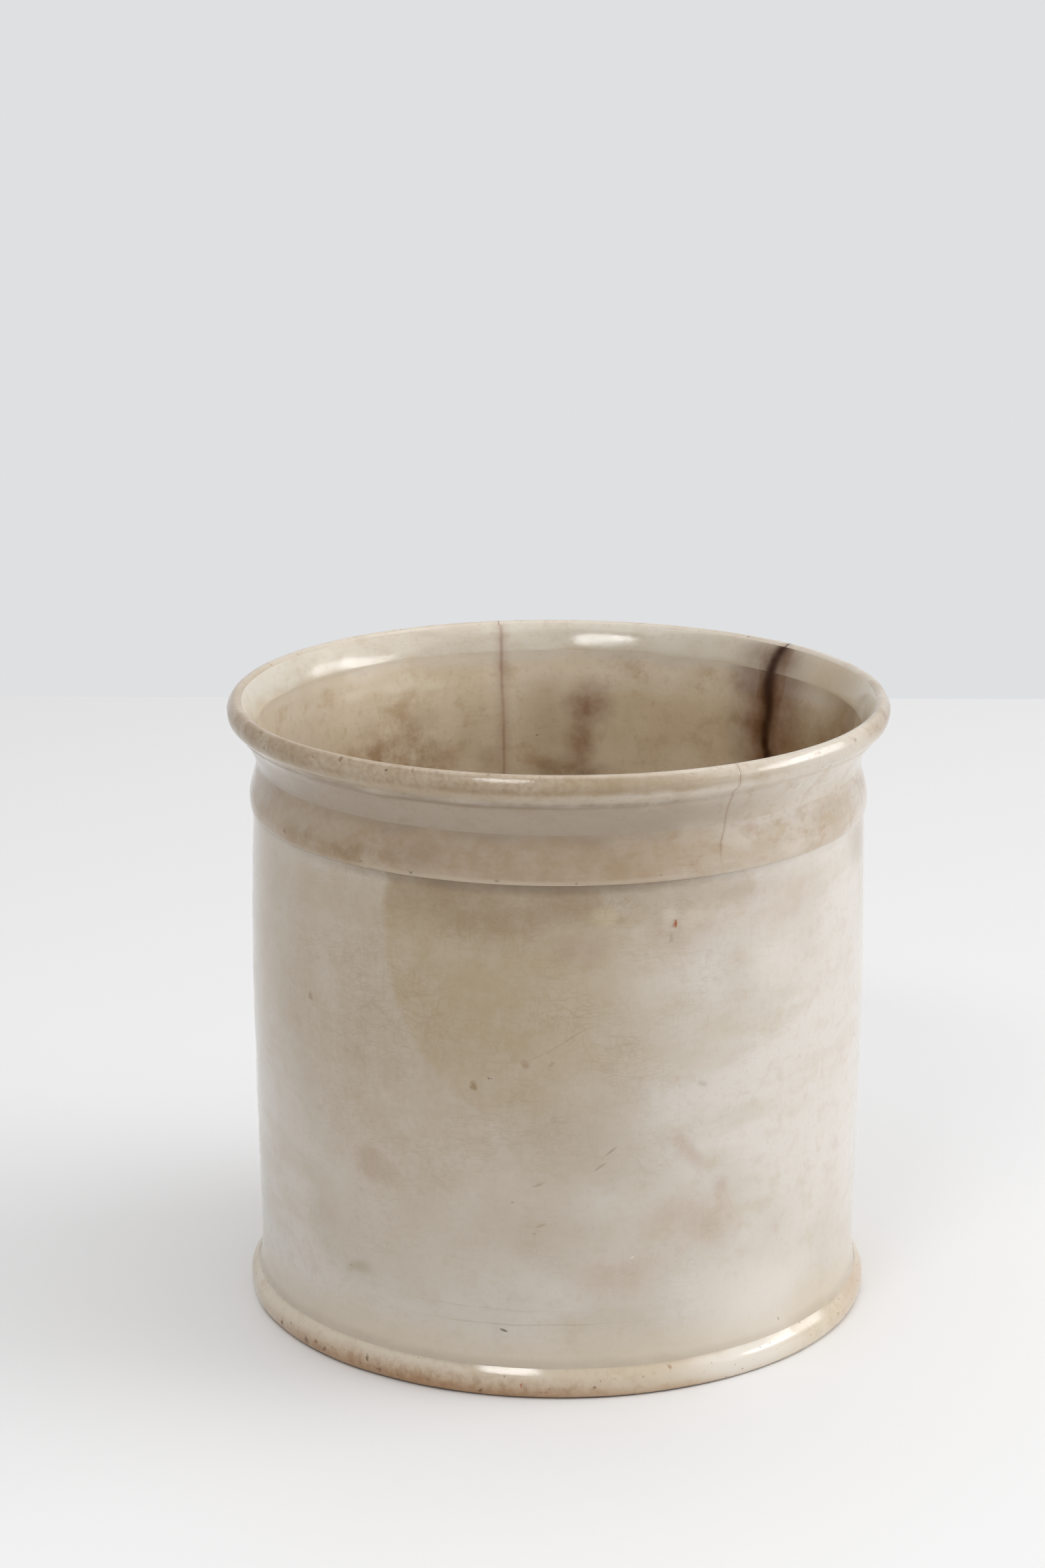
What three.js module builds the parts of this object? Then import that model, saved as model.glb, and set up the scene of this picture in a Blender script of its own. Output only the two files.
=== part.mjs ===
// Confit pot: a wide, straight-sided jar of glazed earthenware with a rolled rim.
// Its clay pieces are shown as they are luted together with slip before firing.
// Millimetres, +Z up. The origin is the centre of the foot's underside.
import * as THREE from 'three';

// Facets round the pot, a multiple of four, and steps along each curved stretch.
const facets = 64;
const curveSteps = 4;

// Clearance that the slip fills between two luted pieces.
const slip = 0.3;

// Wall: outside radius under the collar band, and how it swells and tapers below.
const wallRadius = 74.1;
const wallThickness = 4.3;
const shoulderHeight = 123.3;
const bellySwell = 0.7;
const bellyDrop = 38.3;
const bellyEase = 20;
const footTaper = 0.4;

// Neck: the thinner top of the wall, which carries the collar band and the rim.
const neckThickness = 1.8;
const rimSkirt = 3.2;

// Foot ring: a half-round bead round the bottom of the wall, with a ledge under it.
// The bead's height is given below and above its widest point.
const ledgeHeight = 3;
const floorBearing = 3.4;
const footProjection = 2.9;
const footUnderRound = 1;
const footUnder = 2.4;
const footOver = 4.4;
const footLip = 0.6;

const floorThickness = 6.5;

// Collar band: widest at its crisp lower edge, drawn in towards the rim.
const collarHeight = 11.2;
const collarProjection = 0.8;
const collarEdgeRound = 0.6;
const collarTopThickness = 1.25;

// Rim: a cove that spreads to a rolled bead, with a flared inside.
// The bead's height is given below and above its widest point.
const coveHeight = 7.4;
const coveSpread = 3.85;
const beadProjection = 2.95;
const beadUnder = 4.6;
const beadOver = 3;
const crestSetback = 2.5;
const lipRound = 1.9;
const flareStep = 2.6;

// Radii that the pieces share.
const wallFootRadius = wallRadius - footTaper;
const innerFootRadius = wallFootRadius - wallThickness;
const innerRadius = wallRadius - wallThickness;
const neckRadius = innerRadius + neckThickness;
const neckSleeveRadius = neckRadius + slip;
const collarTopRadius = neckSleeveRadius + collarTopThickness;

// Heights that the pieces share.
const collarTop = shoulderHeight + collarHeight;
const rimBase = collarTop + slip;
const rimSeat = rimBase + rimSkirt;
const grooveHeight = rimBase + coveHeight;

// A solid of revolution about +Z from an outline of radius and height.
function turned(name, outline, color, roughness) {
  const geometry = new THREE.LatheGeometry(outline.getPoints(curveSteps), facets);
  geometry.rotateX(Math.PI / 2);
  const material = new THREE.MeshStandardMaterial({ color, roughness, metalness: 0 });
  const mesh = new THREE.Mesh(geometry, material);
  mesh.name = name;
  return mesh;
}

// The wall stands on the foot's ledge and ends in the neck, above the band's shoulder.
function potWall() {
  const bellyRadius = wallRadius + bellySwell;
  const bellyHeight = shoulderHeight - bellyDrop;
  const easeBelow = bellyHeight - bellyEase;
  const easeAbove = bellyHeight + bellyDrop / 2;
  const innerBelly = bellyRadius - wallThickness;
  const outline = new THREE.Path()
    .moveTo(innerFootRadius, ledgeHeight)
    .lineTo(wallFootRadius, ledgeHeight)
    .quadraticCurveTo(bellyRadius, easeBelow, bellyRadius, bellyHeight)
    .quadraticCurveTo(bellyRadius, easeAbove, wallRadius, shoulderHeight)
    .lineTo(neckRadius, shoulderHeight)
    .lineTo(neckRadius, rimSeat)
    .lineTo(innerRadius, rimSeat)
    .lineTo(innerRadius, shoulderHeight)
    .quadraticCurveTo(innerBelly, easeAbove, innerBelly, bellyHeight)
    .quadraticCurveTo(innerBelly, easeBelow, innerFootRadius, ledgeHeight);
  return turned('pot_wall', outline, '#cfc6b7', 0.2);
}

// The floor is a disc let into the wall, resting on the foot's ledge.
function potFloor() {
  const floorRadius = innerFootRadius - slip;
  const floorTop = ledgeHeight + floorThickness;
  const outline = new THREE.Path()
    .moveTo(0, ledgeHeight)
    .lineTo(floorRadius, ledgeHeight)
    .lineTo(floorRadius, floorTop)
    .lineTo(0, floorTop);
  return turned('pot_floor', outline, '#a99a83', 0.25);
}

// The foot ring holds the wall inside its lip and leaves a shallow recess below.
function footRing() {
  const recessRadius = innerFootRadius - floorBearing;
  const lipRadius = wallFootRadius + slip;
  const footRadius = wallFootRadius + footProjection;
  const footTop = footUnder + footOver;
  const outline = new THREE.Path()
    .moveTo(recessRadius, 0)
    .lineTo(footRadius - footUnderRound, 0)
    .quadraticCurveTo(footRadius, 0, footRadius, footUnder)
    .quadraticCurveTo(footRadius, footUnder + footOver / 2, lipRadius + footLip, footTop)
    .lineTo(lipRadius, footTop)
    .lineTo(lipRadius, ledgeHeight)
    .lineTo(recessRadius, ledgeHeight)
    .lineTo(recessRadius, 0);
  return turned('foot_ring', outline, '#c9b596', 0.3);
}

// The collar band is sleeved over the neck and sits on the wall's shoulder.
function collarBand() {
  const collarRadius = wallRadius + collarProjection;
  const edgeTop = shoulderHeight + collarEdgeRound;
  const outline = new THREE.Path()
    .moveTo(neckSleeveRadius, shoulderHeight)
    .lineTo(collarRadius - collarEdgeRound, shoulderHeight)
    .quadraticCurveTo(collarRadius, shoulderHeight, collarRadius, edgeTop)
    .quadraticCurveTo(wallRadius, (edgeTop + collarTop) / 2, collarTopRadius, collarTop)
    .lineTo(neckSleeveRadius, collarTop)
    .lineTo(neckSleeveRadius, shoulderHeight);
  return turned('collar_band', outline, '#c8b79d', 0.25);
}

// The rolled rim caps the neck: its skirt goes round the neck and its seat rests on top.
function rolledRim() {
  const grooveRadius = collarTopRadius + coveSpread;
  const rimRadius = grooveRadius + beadProjection;
  const crestRadius = rimRadius - crestSetback;
  const widest = grooveHeight + beadUnder;
  const crest = widest + beadOver;
  const lipRadius = crestRadius - lipRound;
  const flareRadius = innerRadius + flareStep;
  const outline = new THREE.Path()
    .moveTo(neckSleeveRadius, rimBase)
    .lineTo(collarTopRadius, rimBase)
    .quadraticCurveTo(collarTopRadius, rimBase + coveHeight / 2, grooveRadius, grooveHeight)
    .quadraticCurveTo(rimRadius, grooveHeight, rimRadius, widest)
    .quadraticCurveTo(rimRadius, crest, crestRadius, crest)
    .quadraticCurveTo(lipRadius, crest, lipRadius, crest - lipRound / 2)
    .lineTo(flareRadius, grooveHeight)
    .quadraticCurveTo(innerRadius, rimSeat + rimSkirt / 2, innerRadius, rimSeat)
    .lineTo(neckSleeveRadius, rimSeat)
    .lineTo(neckSleeveRadius, rimBase);
  return turned('rolled_rim', outline, '#cbb896', 0.25);
}

const confitPot = new THREE.Group();
confitPot.name = 'confit_pot';
confitPot.add(potFloor(), potWall(), footRing(), collarBand(), rolledRim());

export default confitPot;
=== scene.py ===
# Confit pot of cream-glazed earthenware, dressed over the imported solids. Metres, +Z up.
import math
from functools import partial

import bpy
import numpy as np
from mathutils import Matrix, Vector
from mathutils.geometry import interpolate_bezier


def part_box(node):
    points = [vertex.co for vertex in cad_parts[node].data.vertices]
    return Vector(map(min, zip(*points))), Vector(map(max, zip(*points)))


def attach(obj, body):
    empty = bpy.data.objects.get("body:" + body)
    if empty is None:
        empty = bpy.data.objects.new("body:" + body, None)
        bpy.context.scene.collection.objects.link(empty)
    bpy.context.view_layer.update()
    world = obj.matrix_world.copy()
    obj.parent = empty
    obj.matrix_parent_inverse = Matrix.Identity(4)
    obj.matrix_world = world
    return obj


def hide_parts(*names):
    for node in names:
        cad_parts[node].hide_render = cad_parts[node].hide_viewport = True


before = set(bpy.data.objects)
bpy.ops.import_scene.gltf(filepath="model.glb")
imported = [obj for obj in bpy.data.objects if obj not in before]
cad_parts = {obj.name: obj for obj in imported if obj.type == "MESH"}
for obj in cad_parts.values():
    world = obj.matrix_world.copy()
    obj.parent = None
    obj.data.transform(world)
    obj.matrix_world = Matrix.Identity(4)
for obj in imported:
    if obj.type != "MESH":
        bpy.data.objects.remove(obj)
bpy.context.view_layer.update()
scene = bpy.context.scene
scene.view_settings.view_transform = "Standard"
mm = 0.001
print("frame loaded:", ", ".join(sorted(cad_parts)))


def linear(hexColour):
    channels = [int(hexColour[i:i + 2], 16) / 255 for i in (1, 3, 5)]
    return (*[c / 12.92 if c <= 0.04045 else ((c + 0.055) / 1.055) ** 2.4 for c in channels], 1)


def boxOf(node):
    low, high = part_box(node)
    return low / mm, high / mm


# Camera: an 85 mm lens above the rim, looking down at the middle of the pot
cameraView = {"lens": 85, "sensor": 36, "away": 0.8672, "height": 0.3639, "tilt": 15.264, "pan": 0.57}


def addCamera(view):
    lens = bpy.data.cameras.new("pot_camera")
    lens.lens = view["lens"]
    lens.sensor_width = view["sensor"]
    camera = bpy.data.objects.new("pot_camera", lens)
    camera.location = (0, -view["away"], view["height"])
    camera.rotation_euler = (math.radians(90 - view["tilt"]), 0, math.radians(view["pan"]))
    scene.collection.objects.link(camera)
    scene.camera = camera


addCamera(cameraView)
print("camera set")


# The pot was thrown by hand: slightly out of round, a little warped at the rim, with faint
# turning ridges and a glaze that ran. All pieces share these, so that their edges still meet.
throwing = {
    "outOfRound": 0.16,     # mm, grows from the foot to the rim
    "growth": 0.0045,       # share by which the pot stands taller than its drawing
    "rimWarp": 0.1,         # mm, up and down round the rim
    "ridge": 0.018,         # mm, height of the turning ridges
    "ridgePitch": 5.4,      # mm between ridges
    "ripple": 0.014,        # mm, glaze ripples
    "ripples": 14,          # how many of them
    "wallRadius": 75,       # mm, what lies further in moves less
    "potHeight": 150,       # mm
    "warpFrom": 110,        # mm, height where the rim's warp begins
    "seed": 7,
}
columns = 480               # faces round the pot


def thrown(radius, height, angle):
    share = np.clip(radius / throwing["wallRadius"], 0, 1)
    lift = np.clip(height / throwing["potHeight"], 0, 1)
    draw = np.random.default_rng(throwing["seed"])
    sway = np.cos(2 * angle + 0.7) + 0.5 * np.cos(3 * angle + 2.1)
    outward = throwing["outOfRound"] * lift * sway
    outward = outward + throwing["ridge"] * np.sin(
        2 * np.pi * height / throwing["ridgePitch"] + angle + 1.3 * np.sin(2 * angle))
    for _ in range(throwing["ripples"]):
        turns = draw.integers(3, 26)
        climb = draw.uniform(-0.45, 0.45)
        phase = draw.uniform(0, 2 * np.pi)
        outward = outward + throwing["ripple"] * np.cos(turns * angle + climb * height + phase)
    warpSpan = throwing["potHeight"] - throwing["warpFrom"]
    warp = np.clip((height - throwing["warpFrom"]) / warpSpan, 0, 1) ** 2 * share
    upward = throwing["growth"] * height + warp * throwing["rimWarp"] * np.cos(3 * angle + 1.2)
    return radius + outward * share, height + upward


# An outline is a start point and its stretches: a finish, then an end point for a straight
# stretch, or two handles and an end point for a curve. Radius and height are in mm.
def drawOutline(start, stretches, ringStep):
    points = [start]
    finishes = []
    for finish, *path in stretches:
        span = math.dist(points[-1], path[-1])
        steps = 1 if finish == "raw" else max(2, round(span / ringStep))
        if len(path) == 3:
            corners = [Vector((*p, 0)) for p in (points[-1], *path)]
            added = [tuple(p.xy) for p in interpolate_bezier(*corners, steps + 1)[1:]]
        else:
            (r0, z0), (r1, z1) = points[-1], path[-1]
            added = [(r0 + (r1 - r0) * i / steps, z0 + (z1 - z0) * i / steps)
                     for i in range(1, steps + 1)]
        points += added
        finishes += [finish] * steps
    return np.array(points), finishes


# Nicks are knocks on an edge: degrees from the front, radius, height, size and depth in mm. They
# push the surface towards a point inside the edge, its heart.
def knock(radius, height, angle, nicks, heart):
    wear = np.zeros_like(radius)
    for degrees, nickRadius, nickHeight, size, depth in nicks:
        turn = (angle - math.radians(degrees) + np.pi) % (2 * np.pi) - np.pi
        around = (turn * nickRadius) ** 2
        away = np.sqrt(around + (radius - nickRadius) ** 2 + (height - nickHeight) ** 2)
        dent = np.exp(-(away / size) ** 2 * 3)
        reach = np.hypot(radius - heart[0], height - heart[1]) + 0.01
        radius = radius - depth * dent * (radius - heart[0]) / reach
        height = height - depth * dent * (height - heart[1]) / reach
        wear = np.maximum(wear, dent)
    return radius, height, wear


sharpAngle = 42             # degrees, edges that bend more stay crisp
tiny = 1e-6                 # mm, what counts as no distance


# Strips are a finish, the degrees from the front where it begins and ends, and what takes its place.
def turnPiece(name, node, start, stretches, finishes, ringStep,
              nicks=(), heart=(0, 0), strips=()):
    outline, finishOf = drawOutline(start, stretches, ringStep)
    closed = math.dist(outline[0], outline[-1]) < tiny
    travel = np.r_[0, np.cumsum(np.hypot(*np.diff(outline, axis=0).T))]
    rings = len(outline) - closed
    angle = np.arange(columns) * 2 * np.pi / columns
    radius, height = (np.repeat(outline[:rings, i:i + 1], columns, axis=1) for i in (0, 1))
    around = np.broadcast_to(angle, radius.shape)
    radius, height = thrown(radius, height, around)
    radius, height, wear = knock(radius, height, around, nicks, heart)
    places = np.stack([radius * np.sin(around), -radius * np.cos(around), height], axis=-1) * mm
    # A ring on the axis is one point
    index = np.arange(rings * columns).reshape(rings, columns)
    onAxis = outline[:rings, 0] < tiny
    index[onAxis] = index[onAxis, :1]
    lower = index if closed else index[:-1]
    upper = np.roll(index, -1, axis=0) if closed else index[1:]
    quads = np.stack([lower, np.roll(lower, -1, 1), np.roll(upper, -1, 1), upper], axis=-1)
    faces = [tuple(dict.fromkeys(quad)) for quad in quads.reshape(-1, 4).tolist()]
    used = np.unique(index)
    renumber = np.zeros(rings * columns, int)
    renumber[used] = np.arange(len(used))
    faces = [[int(renumber[v]) for v in face] for face in faces]
    mesh = bpy.data.meshes.new(name)
    mesh.from_pydata(places.reshape(-1, 3)[used].tolist(), [], faces)
    # A flat map of the turned surface: round the pot and along the outline
    if not np.any(onAxis):
        flat = mesh.uv_layers.new(name="OFBake")
        column = np.arange(columns) / columns
        low, high = travel[:-1] / travel[-1], travel[1:] / travel[-1]
        corners = np.zeros((len(low), columns, 4, 2))
        corners[..., 0] = column[None, :, None] + np.array([0, 1, 1, 0]) / columns
        corners[..., 1] = np.stack([low, low, high, high], axis=-1)[:, None, :]
        flat.data.foreach_set("uv", corners.ravel())
    attribute = mesh.attributes.new("wear", "FLOAT", "POINT")
    attribute.data.foreach_set("value", wear.ravel()[used])
    order = list(finishes)
    for finish in order:
        mesh.materials.append(finishes[finish])
    slots = np.repeat([order.index(finish) for finish in finishOf], columns).reshape(-1, columns)
    for finish, begin, end, dirt in strips:
        first, last = round(begin / 360 * columns), round(end / 360 * columns)
        rows = slots[:, first:last]
        rows[rows == order.index(finish)] = order.index(dirt)
    mesh.polygons.foreach_set("material_index", slots.ravel())
    mesh.shade_smooth()
    mesh.set_sharp_from_angle(angle=math.radians(sharpAngle))
    mesh.validate()
    piece = bpy.data.objects.new(name, mesh)
    scene.collection.objects.link(piece)
    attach(piece, "root")
    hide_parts(node)
    print("made", name, len(mesh.polygons), "faces")


def addNode(tree, kind, inputs=(), **settings):
    node = tree.nodes.new("ShaderNode" + kind)
    for name, value in settings.items():
        setattr(node, name, value)
    for key, value in dict(inputs).items():
        socket = node.inputs[key] if isinstance(key, int) else next(
            s for s in node.inputs if s.enabled and s.name == key)
        if isinstance(value, bpy.types.Node):
            value = next(s for s in value.outputs if s.enabled)
        if isinstance(value, bpy.types.NodeSocket):
            tree.links.new(value, socket)
        else:
            socket.default_value = value
    return node


# A mark in the glaze has a place in degrees and height, and fades over its soft share. One with no
# width goes all round, a patchy or grainy one is broken up, and one within another shows only there.
def mark(at, height, wide, tall, tint, strength, **more):
    return dict(at=at, height=height, wide=wide, tall=tall, tint=tint, strength=strength, **more)


# Lead-glazed earthenware: a buff clay dipped in clear glaze and fired glossy. The eye sees
# a cream body under glass, cloudy where fat soaked in, with fine crazing and old hairlines.
def glazedEarthenware(name, look):
    material = bpy.data.materials.new(name)
    material.use_nodes = True
    tree = material.node_tree
    tree.nodes.clear()
    add = partial(addNode, tree)
    place = add("VectorMath", {0: add("TexCoord").outputs["Object"], "Scale": 1 / mm}, operation="SCALE")
    axes = add("SeparateXYZ", {0: place})
    depth = add("Math", {0: axes.outputs[1], 1: look["side"]}, operation="MULTIPLY")
    angle = add("Math", {0: axes.outputs[0], 1: depth}, operation="ARCTAN2")
    along = add("Math", {0: angle, 1: look["radius"]}, operation="MULTIPLY")
    unrolled = add("CombineXYZ", {0: along, 1: axes.outputs[2]})
    drift = add("TexNoise", {"Vector": place, "Scale": 1 / look["driftSize"], "Detail": 3})
    centred = add("VectorMath", {0: drift.outputs["Color"], 1: (0.5, 0.5, 0.5)}, operation="SUBTRACT")
    wandered = add("VectorMath", {0: centred, 1: (look["drift"],) * 3, 2: unrolled},
                   operation="MULTIPLY_ADD")
    steady = add("VectorMath", {0: centred, 1: (look["steadyDrift"],) * 3, 2: unrolled},
                 operation="MULTIPLY_ADD")

    # Broad clouds, then mottling, then the fine grain of the clay under the glass
    colour = linear(look["body"])
    for wide, tall, detail, tint, low, high, strength in look["clouds"]:
        spread = add("VectorMath", {0: place, 1: (1 / wide, 1 / wide, 1 / tall)}, operation="MULTIPLY")
        noise = add("TexNoise", {"Vector": spread, "Scale": 1, "Detail": detail, "Roughness": 0.6})
        share = add("MapRange", {"Value": noise, "From Min": low, "From Max": high, "To Max": strength},
                    interpolation_type="SMOOTHSTEP")
        colour = add("Mix", {"Factor": share, "A": colour, "B": linear(tint)}, data_type="RGBA")
    patchNoise = add("TexNoise", {"Vector": place, "Scale": 1 / look["patchSize"], "Detail": 5,
                                  "Roughness": 0.65})
    low, high = look["patchRange"]
    patch = add("MapRange", {"Value": patchNoise, "From Min": low, "From Max": high})

    # Marks lie on the unrolled surface. Those that cross the back go on at the other side.
    peelNoise = add("TexNoise", {"Vector": place, "Scale": 1 / look["peelSize"], "Detail": 2})
    ragged = add("VectorMath", {0: peelNoise.outputs["Color"], 1: (0.5, 0.5, 0.5)}, operation="SUBTRACT")
    frayed = add("VectorMath", {0: ragged, 1: (look["fray"],) * 3, 2: steady}, operation="MULTIPLY_ADD")
    half = math.pi * look["radius"]
    beyond = 500            # mm, past every height

    def markMask(area):
        path = {"steady": steady, "frayed": frayed}.get(area.get("edge"), wandered)
        centre = (math.radians(area["at"]) * look["radius"], area["height"], 0)
        offset = add("VectorMath", {0: path, 1: centre}, operation="SUBTRACT")
        offset = add("VectorMath", {0: offset, 1: (half, beyond, beyond), 2: (-half, -beyond, -beyond)},
                     operation="WRAP")
        if area.get("turn"):
            offset = add("VectorRotate", {"Vector": offset, "Angle": math.radians(-area["turn"])},
                         rotation_type="Z_AXIS")
        across = 2 / area["wide"] if area["wide"] else 0
        scaled = add("VectorMath", {0: offset, 1: (across, 2 / area["tall"], 0)}, operation="MULTIPLY")
        reach = add("VectorMath", {0: scaled}, operation="LENGTH")
        soft = area.get("soft", look["markSoft"])
        mask = add("MapRange", {"Value": reach, "From Min": 1, "From Max": 1 - soft,
                                "To Max": area.get("strength", 1)}, interpolation_type="SMOOTHSTEP")
        if area.get("patchy"):
            thin = add("MapRange", {"Value": patch, "To Min": 1 - area["patchy"]})
            mask = add("Math", {0: mask, 1: thin}, operation="MULTIPLY")
        if area.get("grainy"):
            low, high = look["grainRange"]
            thin = add("MapRange", {"Value": peelNoise, "From Min": low, "From Max": high})
            mask = add("Math", {0: mask, 1: thin}, operation="MULTIPLY")
        if area.get("within"):
            mask = add("Math", {0: mask, 1: markMask(area["within"])}, operation="MULTIPLY")
        return mask

    spots = [mark(*spot, soft=look["spotSoft"], edge="frayed") for spot in look["spots"]]
    for area in look["marks"] + spots:
        colour = add("Mix", {"Factor": markMask(area), "A": colour, "B": linear(area["tint"])},
                     data_type="RGBA")

    # Crazing: cell edges and long thin threads, mostly level, showing in patches
    craze = look["crazing"]
    warped = add("VectorMath", {0: centred, 1: (craze["bend"],) * 3, 2: place}, operation="MULTIPLY_ADD")
    lines = None
    for feature, wide, tall, strength in craze["nets"]:
        cells = add("VectorMath", {0: warped, 1: (1 / wide, 1 / wide, 1 / tall)}, operation="MULTIPLY")
        if feature == "cells":
            edge = add("TexVoronoi", {"Vector": cells, "Scale": 1}, feature="DISTANCE_TO_EDGE")
        else:
            level = add("TexNoise", {"Vector": cells, "Scale": 1, "Detail": 1})
            edge = add("Math", {0: level, 1: 0.5}, operation="SUBTRACT")
            edge = add("Math", {0: edge}, operation="ABSOLUTE")
        line = add("MapRange", {"Value": edge, "From Min": craze["width"] / min(wide, tall), "From Max": 0,
                                "To Max": strength})
        lines = add("Math", {0: lines, 1: line}, operation="MAXIMUM") if lines else line
    fadeNoise = add("TexNoise", {"Vector": place, "Scale": 1 / craze["fadeSize"], "Detail": 2})
    fade = add("MapRange", {"Value": fadeNoise, "From Min": craze["from"], "From Max": craze["to"]})
    low, high = craze["heights"]
    climb = add("MapRange", {"Value": axes.outputs[2], "From Min": low, "From Max": high,
                             "To Min": craze["lowShare"]})
    lines = add("Math", {0: lines, 1: fade}, operation="MULTIPLY")
    lines = add("Math", {0: lines, 1: climb}, operation="MULTIPLY")
    turned = add("Math", {0: angle, 1: math.radians(craze["at"])}, operation="SUBTRACT")
    low, high = craze["facing"]
    facing = add("MapRange", {"Value": add("Math", {0: turned}, operation="COSINE"), "From Min": low,
                              "From Max": high, "To Min": craze["awayShare"]})
    lines = add("Math", {0: lines, 1: facing}, operation="MULTIPLY")
    colour = add("Mix", {"Factor": lines, "A": colour, "B": linear(craze["tint"])}, data_type="RGBA")

    # Hairlines: the path gives degrees and heights, with a soft stain each side of the line
    sweep = 20              # degrees that the course's curve can span
    lead = 0.2              # mm below its path where a line begins
    cuts = None
    for crack in look["cracks"]:
        heights = [z for _, z in crack["path"]]
        low, high = min(heights), max(heights)
        middle = sum(d for d, _ in crack["path"]) / len(crack["path"])
        rise = add("MapRange", {"Value": axes.outputs[2], "From Min": low, "From Max": high})
        course = add("FloatCurve", {"Value": rise})
        bends = course.mapping.curves[0].points
        turns = sorted(((z - low) / (high - low), 0.5 + (d - middle) / sweep) for d, z in crack["path"])
        bends[0].location, bends[1].location = turns[0], turns[-1]
        for turn in turns[1:-1]:
            bends.new(*turn)
        course.mapping.update()
        line = add("MapRange", {"Value": course,
                                "To Min": math.radians(middle - sweep / 2) * look["radius"],
                                "To Max": math.radians(middle + sweep / 2) * look["radius"]})
        across = add("SeparateXYZ", {0: steady})
        gap = add("Math", {0: across.outputs[0], 1: line}, operation="SUBTRACT")
        gap = add("Math", {0: gap}, operation="ABSOLUTE")
        ends = add("MapRange", {"Value": axes.outputs[2], "From Min": low - lead,
                                "From Max": low + crack["fade"]})
        if crack.get("fadeTop"):
            upper = add("MapRange", {"Value": axes.outputs[2], "From Min": high,
                                     "From Max": high - crack["fadeTop"]})
            ends = add("Math", {0: ends, 1: upper}, operation="MULTIPLY")
        for width, tint, strength, patchy in crack["layers"]:
            mask = add("MapRange", {"Value": gap, "From Min": width, "From Max": 0, "To Max": strength},
                       interpolation_type="SMOOTHSTEP")
            mask = add("Math", {0: mask, 1: ends}, operation="MULTIPLY")
            if patchy:
                thin = add("MapRange", {"Value": patch, "To Min": 1 - patchy})
                mask = add("Math", {0: mask, 1: thin}, operation="MULTIPLY")
            colour = add("Mix", {"Factor": mask, "A": colour, "B": linear(tint)}, data_type="RGBA")
        cuts = add("Math", {0: cuts, 1: mask}, operation="MAXIMUM") if cuts else mask

    # Iron specks: a dot in some cells only
    for cell, size, share, tint, strength in look["specks"]:
        dots = add("TexVoronoi", {"Vector": warped, "Scale": 1 / cell})
        dot = add("MapRange", {"Value": dots.outputs["Distance"], "From Min": size / cell,
                               "From Max": size / cell / 2, "To Max": strength})
        chance = add("SeparateColor", {0: dots.outputs["Color"]})
        some = add("Math", {0: chance.outputs[0], 1: share}, operation="LESS_THAN")
        dot = add("Math", {0: dot, 1: some}, operation="MULTIPLY")
        above = add("Math", {0: axes.outputs[2], 1: look["specksAbove"]}, operation="GREATER_THAN")
        dot = add("Math", {0: dot, 1: above}, operation="MULTIPLY")
        colour = add("Mix", {"Factor": dot, "A": colour, "B": linear(tint)}, data_type="RGBA")

    # Bare clay where an edge is knocked
    worn = add("Attribute", attribute_name="wear")
    low, high = look["bareRange"]
    bare = add("MapRange", {"Value": worn.outputs["Fac"], "From Min": low, "From Max": high})
    colour = add("Mix", {"Factor": bare, "A": colour, "B": linear(look["bare"])}, data_type="RGBA")

    # Gloss: glassy, duller in patches and on bare clay
    dull = add("MapRange", {"Value": patch, "To Min": look["rough"][0], "To Max": look["rough"][1]})
    rough = add("Math", {0: bare, 1: look["bareRough"], 2: dull}, operation="MULTIPLY_ADD")
    relief = add("Bump", {"Height": peelNoise, "Strength": 1, "Distance": look["peel"] * mm})
    relief = add("Bump", {"Height": lines, "Strength": 1, "Distance": craze["depth"] * mm,
                          "Normal": relief}, invert=True)
    if cuts:
        relief = add("Bump", {"Height": cuts, "Strength": 1, "Distance": look["crackDepth"] * mm,
                              "Normal": relief}, invert=True)
    glaze = add("BsdfPrincipled", {"Base Color": colour, "Roughness": rough, "IOR": look["ior"],
                                   "Normal": relief, "Specular IOR Level": look["shine"]})
    add("OutputMaterial", {"Surface": glaze})
    return material


# Fired buff clay, left bare where pieces join and where the pot stands: dry and finely gritty.
def bareClay(name, look):
    material = bpy.data.materials.new(name)
    material.use_nodes = True
    tree = material.node_tree
    tree.nodes.clear()
    add = partial(addNode, tree)
    place = add("VectorMath", {0: add("TexCoord").outputs["Object"], "Scale": 1 / mm}, operation="SCALE")
    colour = linear(look["body"])
    for size, tint, strength in look["clouds"]:
        noise = add("TexNoise", {"Vector": place, "Scale": 1 / size, "Detail": 4})
        low, high = look["cloudRange"]
        share = add("MapRange", {"Value": noise, "From Min": low, "From Max": high, "To Max": strength})
        colour = add("Mix", {"Factor": share, "A": colour, "B": linear(tint)}, data_type="RGBA")
    grit = add("TexNoise", {"Vector": place, "Scale": 1 / look["grit"], "Detail": 3})
    relief = add("Bump", {"Height": grit, "Strength": 1, "Distance": look["gritDepth"] * mm})
    low, high = look["rough"]
    rough = add("MapRange", {"Value": grit, "To Min": low, "To Max": high})
    clay = add("BsdfPrincipled", {"Base Color": colour, "Roughness": rough, "IOR": look["ior"],
                                  "Normal": relief})
    add("OutputMaterial", {"Surface": clay})
    return material


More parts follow.
